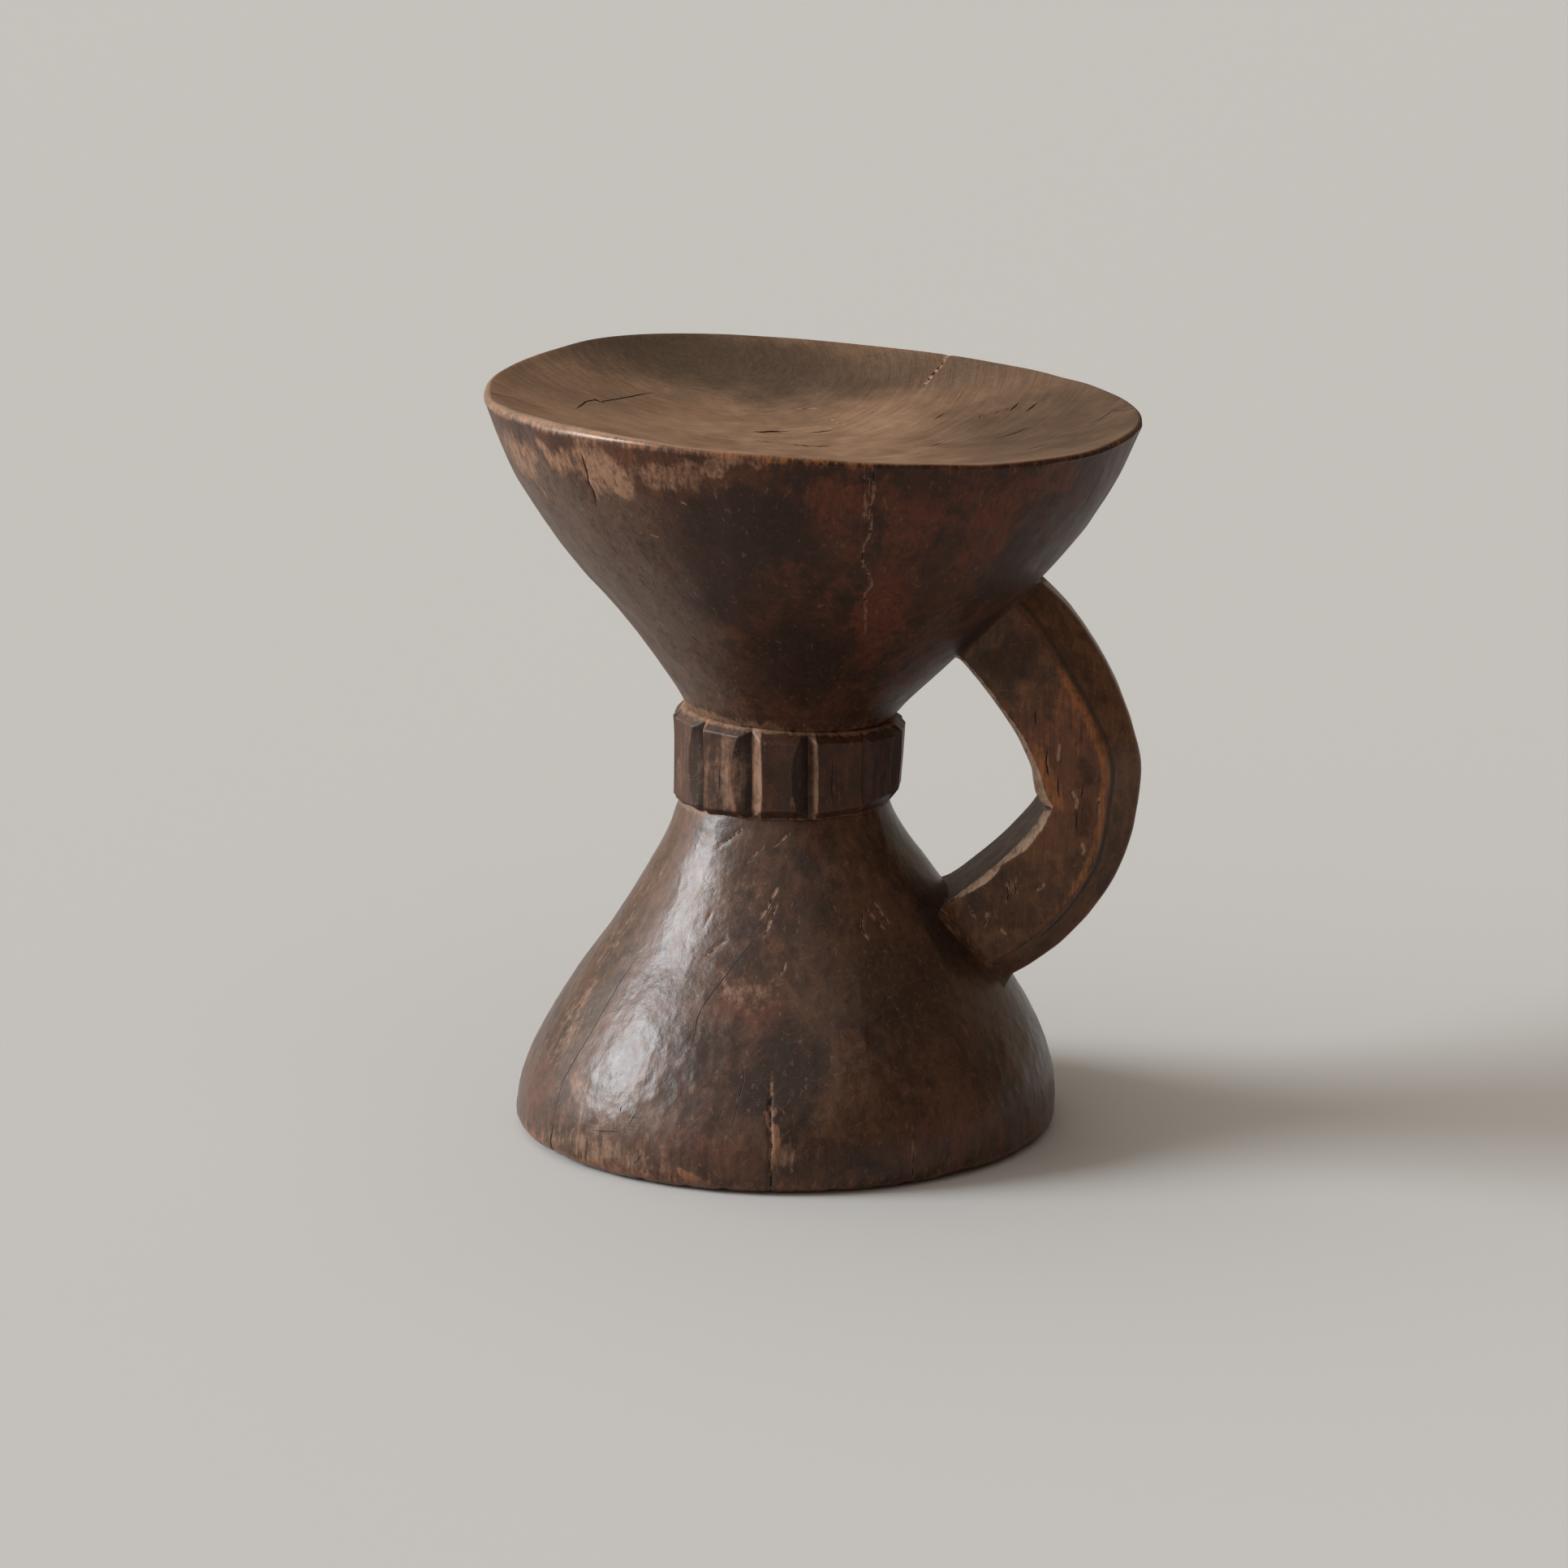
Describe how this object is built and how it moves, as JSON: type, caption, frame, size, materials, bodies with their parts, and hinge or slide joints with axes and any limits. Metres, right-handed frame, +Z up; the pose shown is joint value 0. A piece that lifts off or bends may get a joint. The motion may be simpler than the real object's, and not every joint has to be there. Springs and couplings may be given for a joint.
{
  "type": "handled stool",
  "caption": "Carved hardwood hourglass stool: a dished round seat and a flared base meet at a notched collar, with a bow handle at the side to carry it by.",
  "frame": {"origin": "centre of the flat underside, on the axis of the base and the collar", "axes": "+Z up, +X from the axis towards the handle, so that -Y faces the viewer of the picture"},
  "size_m": [0.3309, 0.3286, 0.3848],
  "materials": {
    "seat_wood": "smoke-dark hardwood, adzed and hand-worn, matt in the dish and satin on the rim",
    "collar_wood": "dark hardwood, knife-planed blocks with raw wood in the creases",
    "base_wood": "dark hardwood, adze-dimpled, rubbed to a satin gloss, worn pale at the foot",
    "handle_wood": "dark hardwood, planed facets worn orange-brown where a hand holds it"
  },
  "bodies": {
    "root": {"seat_bowl": "seat_wood", "waist_collar": "collar_wood", "base_flare": "base_wood", "handle": "handle_wood"}
  },
  "joints": []
}
